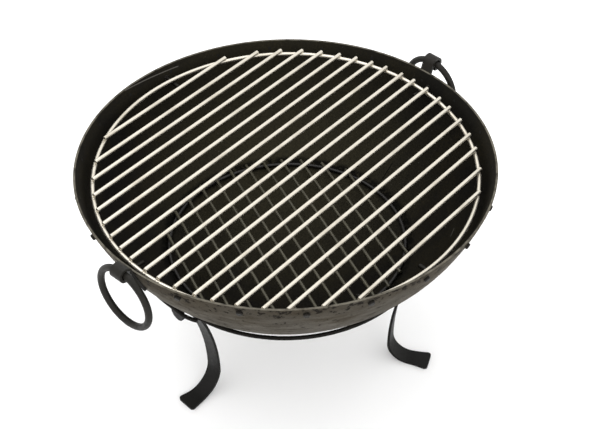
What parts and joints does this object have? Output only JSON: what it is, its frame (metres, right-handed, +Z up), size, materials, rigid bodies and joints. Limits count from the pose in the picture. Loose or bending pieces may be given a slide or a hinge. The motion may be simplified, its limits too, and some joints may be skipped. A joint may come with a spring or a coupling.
{
  "type": "fire pit bowl",
  "caption": "Dished steel fire bowl with a rod cooking grill, a charcoal grate inside, ring handles on strap eyes and a low hoop stand on bent flat-bar legs.",
  "frame": {"origin": "on the ground, under the middle of the bowl", "axes": "+Z up; -Y towards the front of the bowl as pictured; +X to the right of the picture"},
  "size_m": [0.5994, 0.5994, 0.3818],
  "materials": {
    "bowl_steel": "matt, blackened by heat",
    "rivet_steel": "matt",
    "handle_steel": "dull forged steel",
    "grill_steel": "bright plated",
    "grate_steel": "satin black",
    "stand_steel": "satin, dark"
  },
  "bodies": {
    "stand": {"stand_hoop": "stand_steel", "hoop_lap": "stand_steel", "leg_front_left": "stand_steel", "leg_front_right": "stand_steel", "leg_rear": "stand_steel"},
    "bowl": {"bowl_shell": "bowl_steel", "rim_rivets": "rivet_steel", "handle_strap_left": "handle_steel", "handle_strap_right": "handle_steel", "handle_strap_rivets_left": "rivet_steel", "handle_strap_rivets_right": "rivet_steel", "grill_pin_1": "bowl_steel", "grill_pin_2": "bowl_steel", "grill_pin_3": "bowl_steel", "grill_pin_4": "bowl_steel", "grill_pin_5": "bowl_steel"},
    "grill": {"grill_ring": "grill_steel", "grill_bar_01": "grill_steel", "grill_bar_02": "grill_steel", "grill_bar_03": "grill_steel", "grill_bar_04": "grill_steel", "grill_bar_05": "grill_steel", "grill_bar_06": "grill_steel", "grill_bar_07": "grill_steel", "grill_bar_08": "grill_steel", "grill_bar_09": "grill_steel", "grill_bar_10": "grill_steel", "grill_bar_11": "grill_steel", "grill_bar_12": "grill_steel", "grill_bar_13": "grill_steel", "grill_bar_14": "grill_steel", "grill_bar_15": "grill_steel", "grill_bar_16": "grill_steel", "grill_bar_17": "grill_steel", "grill_bar_18": "grill_steel", "grill_bar_19": "grill_steel"},
    "grate": {"grate_ring": "grate_steel", "grate_bar_01": "grate_steel", "grate_bar_02": "grate_steel", "grate_bar_03": "grate_steel", "grate_bar_04": "grate_steel", "grate_bar_05": "grate_steel", "grate_bar_06": "grate_steel", "grate_bar_07": "grate_steel", "grate_bar_08": "grate_steel", "grate_bar_09": "grate_steel", "grate_bar_10": "grate_steel", "grate_bar_11": "grate_steel", "grate_bar_12": "grate_steel"},
    "handle_left": {"ring_handle_left": "handle_steel"},
    "handle_right": {"ring_handle_right": "handle_steel"}
  },
  "joints": [
    {"name": "bowl_lift", "type": "slide", "parent": "stand", "child": "bowl", "axis": [0, 0, 1], "range_m": [0, 0.15]},
    {"name": "grill_lift", "type": "slide", "parent": "bowl", "child": "grill", "axis": [0, 0, 1], "range_m": [0, 0.15]},
    {"name": "grate_lift", "type": "slide", "parent": "bowl", "child": "grate", "axis": [0, 0, 1], "range_m": [0, 0.11]},
    {"name": "handle_left_swing", "type": "hinge", "parent": "bowl", "child": "handle_left", "pos_m": [-0.21463, -0.22617, 0.363], "axis": [-0.7254, 0.6884, 0], "range_deg": [-25, 180]},
    {"name": "handle_right_swing", "type": "hinge", "parent": "bowl", "child": "handle_right", "pos_m": [0.23001, 0.21449, 0.371], "axis": [0.682, -0.7314, 0], "range_deg": [-25, 180]}
  ]
}
